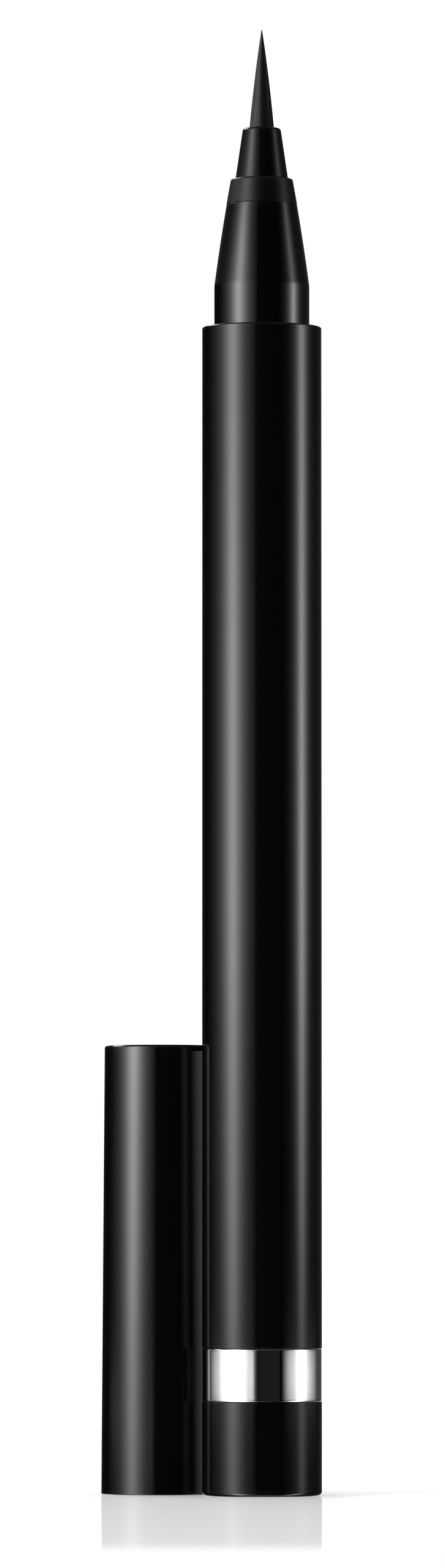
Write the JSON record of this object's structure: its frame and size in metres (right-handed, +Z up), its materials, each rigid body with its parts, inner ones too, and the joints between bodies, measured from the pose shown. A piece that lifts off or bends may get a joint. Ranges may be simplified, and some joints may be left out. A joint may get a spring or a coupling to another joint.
{
  "type": "liquid eyeliner pen",
  "caption": "Slim black liquid eyeliner pen standing on its flat tail, with a fine brush nib, a bright band and its pull-off cap standing beside it.",
  "frame": {"origin": "centre of the pen's flat foot", "axes": "+Z up along the pen to the nib, -Y towards the front, the cap stands at -X +Y"},
  "size_m": [0.0192, 0.0164, 0.1274],
  "materials": {
    "barrel_black": "satin black",
    "nose_black": "gloss black",
    "band_metal": "mirror",
    "bristle": "fine black bristles",
    "wick_fibre": "bonded fibre",
    "collector_plastic": "matte",
    "seal_rubber": "matte",
    "tank_plastic": "natural",
    "bright_steel": "bright",
    "inner_cap_plastic": "natural"
  },
  "bodies": {
    "pen": {"barrel": "barrel_black", "band_ring": "band_metal", "tail_plug": "barrel_black", "front_section": "nose_black", "nib_sleeve": "nose_black", "brush_nib": "bristle", "feed_wick": "wick_fibre", "collector": "collector_plastic", "tank_seal": "seal_rubber", "ink_tank": "tank_plastic", "tank_plug": "tank_plastic"},
    "ball": {"mixing_ball": "bright_steel"},
    "cap": {"cap_shell": "barrel_black", "inner_cap_spring": "bright_steel"},
    "inner_cup": {"inner_cap": "inner_cap_plastic"}
  },
  "joints": [
    {"name": "cap_lift", "type": "slide", "parent": "pen", "child": "cap", "axis": [0, 0, 1], "range_m": [0, 0.13]},
    {"name": "inner_cap_push", "type": "slide", "parent": "cap", "child": "inner_cup", "axis": [0, 0, 1], "range_m": [0, 0.003], "stiffness_N_per_m": 100, "deforming": ["inner_cap_spring"]},
    {"name": "ball_shake", "type": "slide", "parent": "pen", "child": "ball", "axis": [0, 0, 1], "range_m": [0, 0.0214]}
  ]
}
